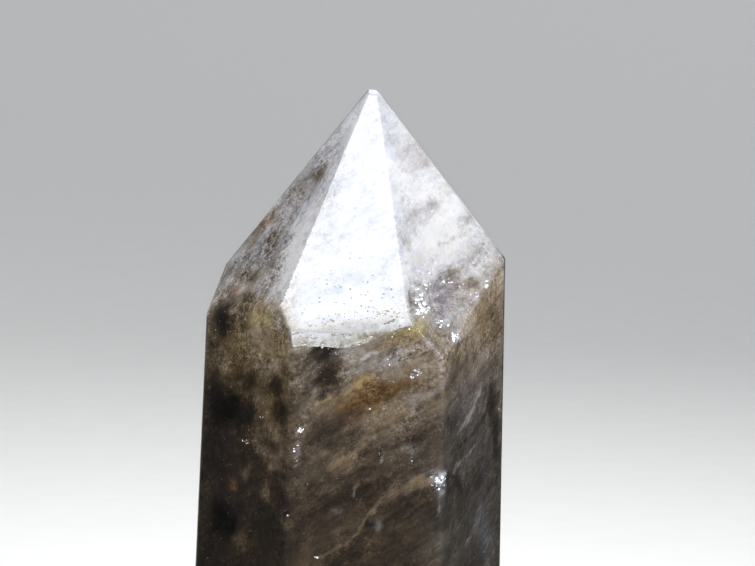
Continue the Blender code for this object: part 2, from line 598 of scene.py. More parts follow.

# Clouds where the photograph shows them: column, row, millimetres along the growth layers and
# across them, colour and strength. The near-black clouds, and the darkest ones over the open
# places below, are painted shade for the darkness seen through clear quartz.
CLOUDS = (
    # Broad ones first.
    (222, 322, 2.8, 2.6, UMBER, 0.95),
    (216, 395, 3.2, 4.5, UMBER, 0.85),
    (214, 440, 2.5, 4.0, UMBER, 0.9),
    (225, 500, 4.5, 5.0, UMBER, 0.6),
    (262, 356, 3.6, 1.8, TAUPE, 0.8),
    (472, 330, 3.0, 5.0, DRAB, 0.5),
    (432, 395, 2.2, 3.0, MUSHROOM, 0.8),
    (390, 345, 4.0, 1.4, BEIGE, 0.8),
    (324, 186, 2.4, 3.2, MIST, 0.8),
    (311, 210, 2.4, 3.2, MILK, 0.85),
    (301, 234, 2.6, 3.2, MILK, 1.0),
    (293, 257, 2.6, 3.2, MILK, 1.0),
    (284, 279, 2.4, 2.6, MILK, 0.9),
    (272, 300, 2.4, 1.8, MIST, 0.8),
    (253, 312, 2.2, 1.4, BEIGE, 0.9),
    (254, 332, 3.2, 1.8, DRAB, 0.7),
    (268, 342, 2.6, 1.4, BEIGE, 0.8),
    (430, 200, 6.5, 6.5, MILK, 0.95),
    (400, 175, 3.0, 4.0, MILK, 0.8),
    (430, 525, 2.2, 8.0, GRAPHITE, 0.4),
    (420, 458, 2.6, 3.2, ASH, 0.5),
    (420, 262, 3.0, 2.5, MIST, 0.9),
    # Behind the front facet of the prism, from the ledge down.
    (325, 378, 2.3, 1.9, UMBER, 1.0),
    (326, 352, 2.6, 0.7, BARK, 0.7),
    (331, 364, 1.7, 1.1, BARK, 0.75),
    (324, 350, 3.0, 0.9, UMBER, 0.9),
    (300, 362, 1.2, 1.6, TAUPE, 0.8),
    (300, 401, 2.0, 0.9, SMOKE, 0.6),
    (307, 391, 0.7, 0.6, DEEP_SHADE, 0.8),
    (313, 389, 0.4, 0.6, LAVENDER, 0.6),
    (357, 386, 1.2, 0.7, TAN, 1.0),
    (362, 399, 4.5, 1.5, AMBER, 0.95),
    (392, 389, 4.0, 1.1, AMBER, 0.9),
    (352, 418, 1.6, 0.8, RUST, 0.5),
    (350, 371, 2.0, 1.1, BEIGE, 0.6),
    (376, 358, 3.4, 1.4, HAZE, 0.75),
    (400, 343, 4.0, 0.8, BEIGE, 0.6),
    (412, 362, 2.6, 0.9, MUSHROOM, 0.7),
    (410, 377, 1.2, 0.8, BEIGE, 0.6),
    (324, 432, 3.6, 1.5, SMOKE, 0.8),
    (346, 437, 3.0, 1.0, SMOKE, 0.8),
    (388, 420, 4.0, 1.1, BEIGE, 0.5),
    (418, 434, 2.4, 0.9, SMOKE, 0.6),
    (408, 443, 3.0, 0.6, UMBER, 0.5),
    (345, 461, 2.3, 1.3, BEIGE, 0.8),
    (313, 468, 2.4, 1.0, TAUPE, 0.8),
    (371, 456, 1.8, 1.2, SMOKE, 0.7),
    (366, 495, 1.9, 1.1, BARK, 0.5),
    (330, 506, 5.5, 1.5, UMBER, 0.85),
    (338, 513, 1.5, 0.5, LAVENDER, 0.6),
    (378, 524, 0.9, 0.7, PEARL, 0.6),
    (370, 524, 0.6, 0.5, DEEP_SHADE, 0.9),
    (400, 514, 3.0, 1.1, UMBER, 0.7),
    (328, 527, 5.0, 1.4, SMOKE, 0.8),
    (352, 556, 3.0, 0.9, UMBER, 0.9),
    (426, 552, 4.0, 2.4, ASH, 0.25),
    # Painted highlight round the flashes there.
    (441, 482, 1.2, 1.2, FROST_AND_HIGHLIGHT, 1.0),
    (431, 477, 1.1, 0.8, PEARL, 0.9),
    (420, 482, 1.8, 0.7, BEIGE, 0.8),
    (425, 499, 3.0, 0.7, SMOKE, 0.8),
    # Behind the left facet of the prism.
    (222, 316, 1.7, 1.7, DEEP_SHADE, 0.7),
    (250, 327, 1.2, 0.7, AMBER, 0.5),
    (214, 345, 1.2, 0.8, BARK, 0.9),
    (264, 338, 2.2, 1.2, BEIGE, 0.5),
    (225, 361, 2.4, 1.3, MUSHROOM, 0.7),
    (240, 350, 2.0, 0.8, BEIGE, 0.6),
    (262, 354, 2.6, 1.1, BEIGE, 0.7),
    (283, 352, 1.2, 1.2, BEIGE, 0.7),
    (268, 370, 2.4, 1.0, MUSHROOM, 0.85),
    (276, 366, 1.3, 0.8, CREAM, 0.6),
    (275, 386, 1.6, 1.3, UMBER, 0.95),
    (248, 379, 1.8, 0.8, UMBER, 0.7),
    (258, 398, 1.6, 0.9, BEIGE, 0.8),
    (222, 410, 4.0, 1.7, DEEP_SHADE, 0.85),
    (246, 417, 2.2, 1.2, DEEP_SHADE, 0.9),
    (280, 413, 1.8, 1.1, UMBER, 0.95),
    (233, 432, 3.4, 1.6, UMBER, 0.95),
    (212, 452, 2.5, 2.0, UMBER, 0.8),
    (207, 455, 0.5, 1.0, RUST, 0.8),
    (275, 437, 1.1, 0.7, BEIGE, 0.7),
    (270, 425, 1.4, 0.9, MUSHROOM, 0.8),
    (262, 440, 2.2, 1.2, TAUPE, 0.8),
    (265, 452, 2.0, 0.9, MUSHROOM, 0.8),
    (263, 441, 0.9, 0.6, BARK, 0.7),
    (280, 455, 1.2, 2.0, MUSHROOM, 0.7),
    (272, 465, 1.1, 1.6, BEIGE, 0.8),
    (246, 470, 1.2, 1.0, TAUPE, 0.7),
    (235, 490, 1.0, 1.6, AMBER, 0.8),
    (266, 492, 1.1, 1.4, BEIGE, 0.8),
    (222, 523, 2.8, 1.7, DEEP_SHADE, 0.9),
    (241, 543, 1.3, 1.0, TAUPE, 0.7),
    (284, 505, 1.3, 1.6, UMBER, 0.7),
    (262, 528, 2.6, 2.4, UMBER, 0.6),
    (215, 556, 3.0, 2.0, UMBER, 0.7),
    # Behind the right facet of the prism.
    (480, 315, 3.0, 5.0, BEIGE, 0.6),
    (496, 350, 1.0, 3.0, TAUPE, 0.7),
    # Painted highlight round the flash there.
    (457, 335, 0.6, 0.9, FROST_AND_HIGHLIGHT, 0.9),
    (430, 292, 2.0, 1.0, PEARL, 0.7),
    (493, 400, 1.6, 2.6, UMBER, 0.9),
    (497, 440, 1.2, 4.0, UMBER, 0.9),
    (458, 486, 1.4, 2.6, UMBER, 0.9),
    (484, 463, 0.9, 1.6, STEEL, 0.6),
    (484, 535, 2.4, 4.5, STEEL, 0.8),
    # Behind the right facet of the point.
    (436, 222, 5.5, 3.2, MILK, 0.8),
    (452, 238, 3.0, 1.4, MILK, 0.8),
    (412, 152, 3.4, 1.1, PEARL, 0.85),
    (424, 160, 1.8, 1.1, HAZE, 0.8),
    (395, 158, 0.8, 0.8, FROST_AND_HIGHLIGHT, 0.9),
    (433, 205, 2.0, 0.7, HAZE, 0.7),
    (414, 219, 2.4, 0.9, PEARL, 0.85),
    (403, 238, 1.0, 2.0, HAZE, 0.7),
    (468, 218, 1.8, 0.6, HAZE, 0.8),
    (450, 193, 1.8, 0.5, PEARL, 0.9),
    (446, 262, 4.0, 0.7, MIST, 0.8),
    (482, 250, 1.8, 0.8, HAZE, 0.7),
    (470, 262, 2.6, 0.7, HAZE, 0.8),
    (452, 287, 4.4, 1.3, LAVENDER, 0.5),
    (457, 272, 1.7, 0.6, MUSHROOM, 0.9),
    (474, 284, 1.8, 0.6, MUSHROOM, 0.8),
    (444, 306, 2.6, 0.9, LAVENDER, 0.5),
    (458, 316, 2.4, 0.9, HAZE, 0.5),
    (470, 299, 2.2, 1.2, PEARL, 0.6),
    (486, 270, 1.1, 1.1, HAZE, 0.7),
    (430, 275, 1.8, 0.7, MILK, 0.6),
    (414, 302, 0.6, 2.6, MUSHROOM, 0.8),
    (422, 326, 2.2, 0.9, OLIVE, 0.9),
    (405, 333, 2.0, 1.0, OLIVE, 0.95),
    (437, 336, 1.6, 0.9, KHAKI, 0.7),
    # Behind the left facet of the point.
    (347, 128, 3.0, 3.0, MIST, 0.6),
    (319, 173, 1.8, 1.2, TAUPE, 0.85),
    (299, 190, 2.2, 1.7, DRAB, 0.5),
    (267, 221, 2.0, 1.0, AMBER, 0.7),
    (252, 239, 2.2, 1.4, MUSHROOM, 0.7),
    (274, 238, 1.6, 2.8, MUSHROOM, 0.75),
    (276, 258, 0.8, 1.8, TAUPE, 0.6),
    (245, 255, 1.8, 1.3, HAZE, 0.7),
    (256, 273, 1.0, 2.0, TEAK, 0.85),
    (243, 274, 1.6, 0.9, TEAK, 0.7),
    (229, 280, 0.9, 1.3, MIST, 0.85),
    (234, 292, 1.1, 0.9, ROSE, 0.9),
    (242, 288, 1.1, 0.7, CREAM, 0.7),
    (258, 288, 1.4, 1.1, PEARL, 0.8),
    (268, 306, 1.6, 1.1, BEIGE, 0.6),
    (246, 300, 1.8, 0.9, TEAK, 0.8),
    (260, 320, 2.4, 1.2, OLIVE, 1.0),
    (278, 322, 0.7, 1.6, PEARL, 0.8),
    (285, 300, 0.9, 1.4, MILK, 0.8),
)

# Long wisps: pixels that the line runs through, millimetres across, colour and strength.
WISPS = (
    # Behind the front facet of the prism.
    (((313, 406), (330, 399), (345, 391)), 0.22, TAN, 1.0),
    (((345, 391), (358, 384), (375, 378)), 0.34, TAN, 1.3),
    (((344, 353), (353, 351), (362, 350)), 0.45, PEARL, 0.95),
    (((361, 360), (368, 356), (376, 351)), 0.35, MILK, 1.0),
    (((380, 364), (392, 359), (403, 354)), 0.28, PEARL, 1.2),
    (((384, 358), (394, 353), (402, 350)), 0.22, FROST_AND_HIGHLIGHT, 1.1),
    (((350, 375), (366, 368)), 0.25, FROST_AND_HIGHLIGHT, 0.8),
    (((345, 368), (360, 362)), 0.2, PEARL, 0.8),
    (((398, 347), (412, 344)), 0.25, PEARL, 0.9),
    (((411, 408), (416, 400), (428, 393), (441, 388)), 0.65, PEARL, 0.6),
    (((411, 403), (415, 413)), 0.35, PEARL, 0.8),
    (((369, 394), (377, 397), (384, 402), (387, 408)), 0.2, BEIGE, 0.9),
    (((362, 437), (385, 423), (404, 412)), 0.7, BEIGE, 0.5),
    (((330, 470), (345, 457), (365, 446)), 0.5, BEIGE, 0.8),
    (((380, 449), (384, 453), (380, 461)), 0.22, PEARL, 0.9),
    (((296, 492), (325, 486), (350, 477), (372, 470)), 0.7, UMBER, 0.9),
    (((355, 487), (364, 481), (374, 478)), 0.25, BEIGE, 0.9),
    (((354, 489), (352, 495), (357, 500)), 0.22, PEARL, 0.9),
    (((385, 499), (398, 491), (411, 485), (426, 478)), 0.7, BEIGE, 0.75),
    (((361, 528), (367, 517), (375, 509), (386, 499)), 0.35, BEIGE, 0.85),
    (((404, 446), (412, 452), (410, 460)), 0.3, PEARL, 0.5),
    (((320, 557), (333, 551), (347, 545), (354, 537), (362, 529)), 0.35, BEIGE, 0.8),
    # Painted highlight: pale lilac lines along the edges of the front facet of the prism.
    (((298, 430), (298, 446), (295, 466)), 0.34, LILAC_HIGHLIGHT, 0.8),
    (((424, 340), (434, 350), (440, 360), (445, 380), (446, 402)), 0.24, LILAC_HIGHLIGHT, 1.4),
    (((440, 492), (441, 520)), 0.2, PEARL, 0.5),
    # Painted shade: a dark line along the edge between the front and front left facets of the prism.
    (((291, 348), (291, 385), (290, 424)), 0.3, PEAT, 1.1),
    (((425, 505), (440, 497)), 0.4, UMBER, 0.8),
    # Behind the left facet of the prism.
    (((209, 313), (212, 325), (216, 338)), 0.25, ROSE, 0.7),
    (((213, 313), (217, 328), (221, 340)), 0.25, AMBER, 0.8),
    (((265, 322), (277, 333), (289, 344)), 0.3, CREAM, 0.9),
    (((266, 480), (269, 500)), 0.4, BEIGE, 0.7),
    # Behind the right facet of the prism.
    (((447, 402), (460, 378), (477, 360)), 0.6, BEIGE, 0.6),
    (((478, 357), (488, 346)), 0.25, PEARL, 0.8),
    (((483, 384), (476, 400), (470, 417), (461, 432)), 0.6, PEARL, 0.8),
    (((491, 405), (480, 424), (466, 442), (453, 452)), 0.5, UMBER, 1.0),
    (((479, 440), (468, 455), (456, 466), (448, 484)), 0.35, PEARL, 0.7),
    (((497, 455), (487, 478), (474, 497)), 0.4, STEEL, 0.6),
    (((482, 503), (477, 520), (466, 545)), 0.4, PEARL, 0.4),
    (((498, 520), (488, 545), (480, 562)), 0.4, PEARL, 0.3),
    # Behind the right facet of the point.
    (((408, 263), (430, 252), (452, 245)), 0.6, CREAM, 0.4),
    (((450, 257), (468, 248)), 0.4, CREAM, 0.4),
    (((412, 244), (436, 232), (462, 222)), 0.5, MILK, 1.0),
    (((404, 276), (430, 264), (456, 256)), 0.4, MILK, 1.0),
    (((434, 298), (452, 286), (470, 275), (484, 268)), 0.3, MILK, 0.9),
    (((440, 243), (452, 238), (470, 229)), 0.45, HAZE, 0.8),
    (((405, 170), (425, 160), (440, 163)), 0.6, PEARL, 0.7),
    (((406, 232), (420, 222), (432, 214), (440, 203)), 0.6, PEARL, 0.8),
    (((402, 182), (404, 206), (406, 232)), 0.35, PEARL, 0.7),
    # Painted highlight: a pale line along the edge between the right facets of the point and prism.
    (((440, 324), (455, 313), (468, 303), (478, 296), (486, 287)), 0.3, FROST_AND_HIGHLIGHT, 1.0),
    (((430, 290), (450, 277), (472, 267)), 0.3, PEARL, 0.8),
    (((445, 301), (466, 288)), 0.22, PEARL, 0.7),
    (((440, 268), (462, 259), (478, 250)), 0.3, PEARL, 0.8),
    (((409, 290), (413, 318)), 0.35, SMOKE, 0.8),
    # Behind the left facet of the point.
    (((290, 234), (297, 219), (305, 203)), 0.6, ICE, 1.2),
    (((281, 292), (291, 263), (301, 238)), 0.9, MILK, 0.9),
)

# Open, dark places where the cloud lies deep below the skin, their darkness painted as shade by
# the clouds there: as the clouds, with the depth in millimetres in place of the colour and strength.
POCKETS = (
    (327, 372, 2.6, 2.4, 6.5),
    (226, 412, 3.6, 1.7, 3.5),
    (280, 412, 1.6, 1.3, 2.5),
    (222, 312, 1.6, 1.3, 3.0),
    (366, 495, 2.4, 1.2, 1.2),
    (497, 425, 1.4, 5.0, 2.0),
    (222, 523, 2.8, 1.8, 3.0),
    (452, 288, 3.6, 1.8, 3.0),
)

# Colours of the clouds on the hidden sides, high up and low down.
HIGH_COLOURS = (MILK, PEARL, MIST, HAZE, BEIGE, TAUPE, MUSHROOM)
LOW_COLOURS = (DEEP_SHADE, UMBER, BARK, SMOKE, BEIGE, AMBER, STEEL, TAUPE)

# Flashes: column, row, number of flakes, spread in pixels, size of a flake in millimetres.
GLINTS = (
    (423, 309, 46, 3.2, 0.5),
    (421, 298, 16, 3.2, 0.34),
    (415, 374, 18, 3.2, 0.36),
    (419, 372, 4, 0.8, 0.2),
    (487, 284, 12, 2.0, 0.34),
    (478, 294, 6, 2.2, 0.15),
    (468, 303, 5, 2.4, 0.14),
    (441, 323, 12, 2.4, 0.3),
    (445, 280, 8, 2.6, 0.16),
    (455, 336, 12, 1.8, 0.36),
    (500, 410, 5, 1.3, 0.16),
    (440, 480, 30, 3.4, 0.34),
    (438, 485, 8, 3.0, 0.18),
    (448, 434, 2, 0.6, 0.16),
    (455, 302, 10, 8.0, 0.16),
    (470, 270, 14, 9.0, 0.16),
    (430, 275, 16, 8.0, 0.17),
    (412, 288, 6, 3.0, 0.18),
    (435, 288, 14, 6.0, 0.17),
    (482, 262, 8, 4.0, 0.17),
    (446, 281, 8, 2.6, 0.24),
    (428, 285, 6, 2.0, 0.22),
    (463, 292, 8, 3.0, 0.2),
    (441, 196, 5, 12.0, 0.14),
    (460, 236, 6, 8.0, 0.14),
    (497, 258, 3, 1.5, 0.18),
    (369, 409, 2, 0.8, 0.2),
    (393, 335, 3, 1.2, 0.16),
    (409, 329, 2, 0.6, 0.16),
    (414, 350, 1, 0.3, 0.2),
    (433, 420, 1, 0.3, 0.16),
    (405, 431, 1, 0.3, 0.16),
    (392, 462, 2, 1.5, 0.14),
    (412, 462, 2, 0.8, 0.18),
    (380, 453, 3, 2.0, 0.14),
    (307, 484, 1, 0.3, 0.2),
    (250, 531, 1, 0.3, 0.2),
    (204, 526, 3, 1.5, 0.14),
    (316, 559, 2, 1.0, 0.22),
    (499, 310, 1, 0.3, 0.2),
    (300, 430, 10, 1.4, 0.25),
    (300, 443, 6, 2.6, 0.15),
    (294, 451, 5, 2.4, 0.18),
    (297, 458, 3, 1.2, 0.15),
    (287, 511, 3, 1.6, 0.2),
    (263, 416, 10, 2.0, 0.28),
    (246, 442, 8, 2.0, 0.28),
    (226, 418, 1, 0.3, 0.18),
    (316, 203, 2, 0.5, 0.16),
    (336, 150, 1, 0.3, 0.16),
    (329, 157, 2, 0.5, 0.14),
    (314, 160, 1, 0.3, 0.16),
    (253, 306, 2, 0.6, 0.2),
    (245, 285, 2, 1.0, 0.16),
    (220, 287, 1, 0.3, 0.18),
    (219, 299, 1, 0.3, 0.18),
    (208, 314, 2, 0.6, 0.16),
    (230, 303, 8, 4.0, 0.1),
    (255, 240, 12, 10.0, 0.1),
    (265, 255, 8, 8.0, 0.1),
    (228, 323, 3, 1.5, 0.12),
    (336, 354, 6, 4.0, 0.12),
    (348, 352, 6, 3.0, 0.14),
    (368, 356, 6, 3.0, 0.14),
    (390, 358, 6, 4.0, 0.14),
)

# Marks on the polish: first and last pixel of the line that they lie along, number, spread in
# pixels, size in millimetres and paleness. The grey of the pits is partly painted shade, for the
# shade inside them.
MARKS = (
    ((300, 314), (398, 304), 40, 8.0, 0.24, 0.62),
    ((302, 326), (400, 312), 40, 4.0, 0.24, 0.58),
    ((312, 288), (388, 283), 20, 9.0, 0.23, 0.55),
    ((345, 258), (362, 250), 3, 9.0, 0.24, 0.5),
    ((376, 315), (402, 310), 14, 2.6, 0.27, 0.45),
    ((364, 327), (396, 320), 60, 0.5, 0.24, 0.3),
    ((297, 336), (320, 338), 18, 2.2, 0.24, 0.35),
    ((328, 334), (352, 335), 14, 1.6, 0.24, 0.35),
    ((292, 345), (352, 347), 60, 0.7, 0.2, 0.75),
    ((352, 345), (372, 337), 44, 1.2, 0.24, 0.7),
    ((372, 337), (404, 327), 40, 1.4, 0.18, 0.35),
    ((398, 322), (404, 320), 8, 0.8, 0.25, 1.0),
)


def growth_level(points):
    """The growth layer that each point lies in, as its height on the axis: the layers rise to the
    right and to the back, more steeply low down, and roll in slow waves."""
    across, along, height = points[..., 0], points[..., 1], points[..., 2]
    slope = np.interp(height, LAYER_HEIGHTS, LAYER_SLOPES)
    roll = waves(points, 5, LAYER_WAVE_LENGTH, 2) * LAYER_WAVE
    return height - slope * across - LAYER_RISE_BACK * along + roll


def waves(points, seed, length, octaves=4, fall=0.5):
    """Smooth random heights between about -1 and 1: sums of sine waves in seeded directions,
    each octave half as long and lower by fall."""
    draw = np.random.default_rng(seed)
    total = np.zeros(points.shape[:-1])
    for octave in range(octaves):
        for _ in range(4):
            way = draw.normal(size=3)
            way /= np.linalg.norm(way)
            turn = draw.uniform(0.0, 2.0 * math.pi)
            total += np.sin(points @ way * (2.0 * math.pi / length) * 2**octave + turn) / 4 * fall**octave
    return total


def frayed(points):
    """Points pushed about by waves, so that soft shapes measured from them get cloudy outlines."""
    push = np.stack([waves(points, seed, FRAY_LENGTH, 4, 0.75) for seed in (31, 32, 33)], axis=-1)
    return points + push * FRAY_PUSH


def bell(points, levels, middle, along, across):
    """A soft cloud round a middle: near one inside, falling off round its rim, with one width
    along the growth layers and another across them, in millimetres. Levels are the points'
    growth layers."""
    apart = points - middle
    over = (levels - growth_level(middle)) * LAYER_THICKNESS
    aside = np.maximum((apart**2).sum(axis=-1) - over**2, 0.0)
    return np.exp(-(((over / (across * MM)) ** 2 + aside / (along * MM) ** 2) ** CLOUD_FALL))


def ribbon(points, line, width):
    """A soft line: one on it, falling off as a bell of the given width in millimetres."""
    nearest = np.full(points.shape[:-1], np.inf)
    for start, end in zip(line[:-1], line[1:]):
        way = end - start
        share = np.clip((points - start) @ way / (way @ way), 0.0, 1.0)
        gap = ((points - start - share[..., None] * way) ** 2).sum(axis=-1)
        nearest = np.minimum(nearest, gap)
    return np.exp(-nearest / (width * MM) ** 2)


def surface_points(angles, heights, inset):
    """Points at angles from the front and at heights, on the surface that lies inset inside the
    facets, round an axis that leans over to the tip: the radius is the smooth least of the
    distances to all facets."""
    lean = np.clip((heights - AXIS_BEND) / (SUMMIT[2] - AXIS_BEND), 0.0, 1.0)[..., None]
    middle = np.concatenate([SUMMIT[:2] * lean, heights[..., None]], axis=-1)
    outward = np.stack([np.sin(angles), -np.cos(angles), np.zeros(np.shape(angles))], axis=-1)
    slant = outward @ NORMALS.T
    room = REACHES - np.asarray(inset)[..., None] - middle @ NORMALS.T
    reach = np.where(slant > LEAST_SLANT, room / np.maximum(slant, LEAST_SLANT), 1.0)
    reach = np.clip(reach, LEAST_RADIUS, None)
    least = reach.min(axis=-1, keepdims=True)
    radius = least[..., 0] * ((reach / least) ** -BLEND_POWER).sum(axis=-1) ** (-1 / BLEND_POWER)
    return middle + outward * radius[..., None]


def point_at(angle, height, inset):
    """One point of such a surface, at an angle in degrees and a height in millimetres."""
    return surface_points(np.array([math.radians(angle)]), np.array([height * MM]), [inset])[0]


def placed(column, row):
    """The point of the cloud's surface that the photograph shows at a pixel."""
    point = seen_at(column, row, PLACE_DEPTH)
    return seen_at(column, row, RIM_DEPTH + (PLACE_DEPTH - RIM_DEPTH) * float(edge_share(point)))


def facet_weights(points, blend):
    """How much each facet counts at points near the skin: one for the nearest, and less for the
    others by how much further off they are."""
    room = REACHES - points @ NORMALS.T
    return np.exp(-(room - room.min(axis=-1, keepdims=True)) / blend)


def blended_normals(points):
    """Outward directions near the skin: the normals of the near facets, blended."""
    return unit(facet_weights(points, NORMAL_BLEND) @ NORMALS)


def edge_share(points):
    """Nought on the crystal's edges and one from EDGE_CALM inwards, as a smooth step."""
    room = np.sort(REACHES - points @ NORMALS.T, axis=-1)
    share = np.clip((room[..., 1] - room[..., 0]) / EDGE_CALM, 0.0, 1.0)
    return share * share * (3.0 - 2.0 * share)


def hidden_clouds():
    """Clouds of the same kind for the sides that the photograph doesn't show, at seeded places."""
    draw = np.random.default_rng(21)
    clouds = []
    for _ in range(HIDDEN_CLOUDS):
        height = draw.uniform(3.0, 96.0)
        middle = point_at(draw.uniform(*HIDDEN_SIDES), height, PLACE_DEPTH)
        colours = HIGH_COLOURS if height > PALE_HEIGHT else LOW_COLOURS
        colour = colours[draw.integers(len(colours))]
        along, across = draw.uniform(1.0, 5.0), draw.uniform(0.4, 1.8)
        clouds.append((middle, along, across, colour, draw.uniform(0.6, 1.0)))
    return clouds


def coded(code):
    """An sRGB hex colour as three shares of one, as the eye spaces them."""
    return np.array([int(code[i : i + 2], 16) / 255 for i in (1, 3, 5)])


def by_facet(points, heights, stops):
    """Values at points just under the skin, from each facet's own stops by height in millimetres:
    the nearest facet's count most."""
    weight = facet_weights(points, TONE_BLEND)
    blend, total = 0.0, np.full(points.shape[:-1] + (1,), 1.0e-9)
    for name, rows in stops.items():
        share = weight[..., NAMES.index(name), None]
        levels, values = zip(*rows)
        parts = [np.interp(heights / MM, levels, part) for part in np.array(values).T]
        blend = blend + np.stack(parts, axis=-1) * share
        total = total + share
    return blend / total


def tints(points):
    """Linear colours of the cloud at points just under the skin: the tones of the nearest facets
    at that height, which slow waves push up and down, with each cloud mixed in as the eye would
    mix them."""
    height = points[..., 2] + waves(points, 6, 18 * MM, 2) * 1.5 * MM
    tones = {name: [(level, coded(code)) for level, code in rows] for name, rows in TONES.items()}
    colour = by_facet(points, height, tones)
    loose = frayed(points)
    levels = growth_level(loose)
    clouds = [(placed(c, r), along, across, code, power) for c, r, along, across, code, power in CLOUDS]
    for middle, along, across, code, power in hidden_clouds() + clouds:
        share = power * bell(loose, levels, middle, along, across)[..., None]
        colour = colour + (coded(code) - colour) * share
    return ((colour + 0.055) / 1.055) ** 2.4


def grains(points):
    """How grainy the cloud looks at points just under the skin: most under the point's facets,
    least low in the prism."""
    stops = {name: [(level, (grain,)) for level, grain in rows] for name, rows in GRAINS.items()}
    return by_facet(points, points[..., 2], stops)[..., 0]


def veils(points):
    """The wisps at points just under the skin: their mixed linear colour, and as a fourth number how
    dense the densest of them is. A few are painted highlight and shade along edges."""
    loose = points + (frayed(points) - points) * 0.5
    total = np.full(points.shape[:-1], 1.0e-6)
    dense = np.zeros(points.shape[:-1])
    colour = np.zeros(points.shape)
    for pixels, width, code, power in WISPS:
        line = np.array([placed(column, row) for column, row in pixels])
        share = power * ribbon(loose, line, width)
        colour = colour + np.array(linear(code)[:3]) * share[..., None]
        total = total + share
        dense = np.maximum(dense, share)
    return np.concatenate([colour / total[..., None], dense[..., None]], axis=-1)


def set_attributes(piece, **values):
    """Stores one number or colour for each vertex under its name."""
    for name, numbers in values.items():
        if numbers.ndim == 1:
            stored = piece.data.attributes.new(name, "FLOAT", "POINT").data
            stored.foreach_set("value", numbers.astype(np.float32))
        else:
            alpha = np.ones((len(numbers), 4 - numbers.shape[1]))
            four = np.concatenate([numbers, alpha], axis=1).astype(np.float32)
            piece.data.attributes.new(name, "FLOAT_COLOR", "POINT").data.foreach_set("color", four.ravel())


def smoky_cloud(material):
    """The cloudy mass: rings round the axis just under the skin, pushed in by slow waves and, in
    the open dark places, by deep soft pits."""
    angles = np.linspace(0.0, 2.0 * math.pi, CLOUD_AROUND, endpoint=False)
    heights = np.linspace(RIM_DEPTH, SUMMIT[2] - SUMMIT_GAP, CLOUD_ROWS)
    angle, height = np.meshgrid(angles, heights)
    rim = surface_points(angle, height, np.full(angle.shape, RIM_DEPTH))
    inward = -blended_normals(rim) * edge_share(rim)[..., None]
    near = rim + inward * (PLACE_DEPTH - RIM_DEPTH)
    depth = (0.5 + 0.5 * waves(near, 3, 9 * MM)) * CLOUD_SWELL
    loose = frayed(near)
    levels = growth_level(loose)
    for column, row, along, across, deep in POCKETS:
        depth = depth + bell(loose, levels, placed(column, row), along, across) * deep * MM
    points = rim + inward * (depth + CLOUD_GAP)[..., None]
    points[..., 2] = np.clip(points[..., 2], RIM_DEPTH, None)
    numbers = np.arange(CLOUD_ROWS * CLOUD_AROUND).reshape(CLOUD_ROWS, CLOUD_AROUND)
    faces = []
    for row in range(CLOUD_ROWS - 1):
        faces += ring_faces(numbers[row], numbers[row + 1])
    faces += cone_faces(numbers[0][::-1], numbers.size) + cone_faces(numbers[-1], numbers.size + 1)
    ends = np.stack([points[0].mean(axis=0), points[-1].mean(axis=0)])
    vertices = np.concatenate([points.reshape(-1, 3), ends])
    under = np.concatenate([near.reshape(-1, 3), ends])
    cloud = make_object("smoky_cloud", vertices, faces, [material])
    growth = growth_level(vertices)
    set_attributes(cloud, tint=tints(under), veil=veils(under), growth=growth, grain=grains(under))
    return on_crystal(cloud)


def healed_fractures(material):
    """Films of tiny bubbles where old cracks healed: short curved fins along the growth layers,
    which stand out from the cloud towards the skin by a half circle's height and taper at both
    ends. A few rounds of steps bring each point to its fin's layer."""
    draw = np.random.default_rng(11)
    middle = draw.uniform(0.0, 2.0 * math.pi, (FINS, 1))
    level = draw.uniform(-4.0, 104.0, (FINS, 1)) * MM
    length = np.exp(draw.normal(math.log(FIN_LENGTH), 0.5, (FINS, 1))) * MM
    share = np.linspace(-1.0, 1.0, FIN_STEPS)[None, :]
    angle = middle + share * length / 2.0 / CRYSTAL_RADIUS
    height = np.broadcast_to(level, angle.shape)
    for _ in range(8):
        height = np.clip(height, *FIN_HEIGHTS)
        points = surface_points(angle, height, np.full(angle.shape, PLACE_DEPTH))
        height = height + (level - growth_level(points))
    reach = np.sqrt(np.maximum(1.0 - share**2, 0.0)) * draw.uniform(0.5, 1.0, (FINS, 1))
    reach = reach * (0.75 + 0.25 * np.sin(share * draw.uniform(4.0, 14.0, (FINS, 1)) + middle * 7.0))
    inner = draw.uniform(1.2, 2.4, (FINS, 1))
    outer = inner - (inner - FIN_OUTER_DEPTH) * reach
    part = np.linspace(0.0, 1.0, FIN_ROWS)[None, None, :]
    depth = (inner[..., None] + (outer - inner)[..., None] * part) * MM
    height = np.clip(height, *FIN_HEIGHTS)
    angle, height = (np.broadcast_to(values[..., None], depth.shape) for values in (angle, height))
    points = surface_points(angle, height, depth)
    points = points[np.abs(growth_level(points) - level[..., None]).max(axis=(1, 2)) < FIN_STRAY]
    each = FIN_STEPS * FIN_ROWS
    grid = np.arange(each).reshape(FIN_STEPS, FIN_ROWS)
    patch = np.stack([grid[:-1, :-1], grid[1:, :-1], grid[1:, 1:], grid[:-1, 1:]], axis=-1).reshape(-1, 4)
    faces = (patch[None] + (np.arange(len(points)) * each)[:, None, None]).reshape(-1, 4)
    vertices = points.reshape(-1, 3)
    fins = make_object("healed_fractures", vertices, faces.tolist(), [material])
    set_attributes(fins, tint=tints(vertices), growth=growth_level(vertices))
    return on_crystal(fins)


def inward_ray(column, row):
    """The direction in which the camera's ray runs inside the crystal under a pixel."""
    return unit(seen_at(column, row, 2 * MM) - seen_at(column, row, 1 * MM))


def inward_light(point):
    """The direction in which light runs inside the crystal near a point: from the lamp that the
    facet above the point faces most."""
    normal = nearest_normal(point)
    rays = unit(point - np.array([KEY_PLACE, FILL_PLACE, BACK_PLACE]))
    return unit(bent_ray(rays[(rays @ normal).argmin()], normal, 0.05))


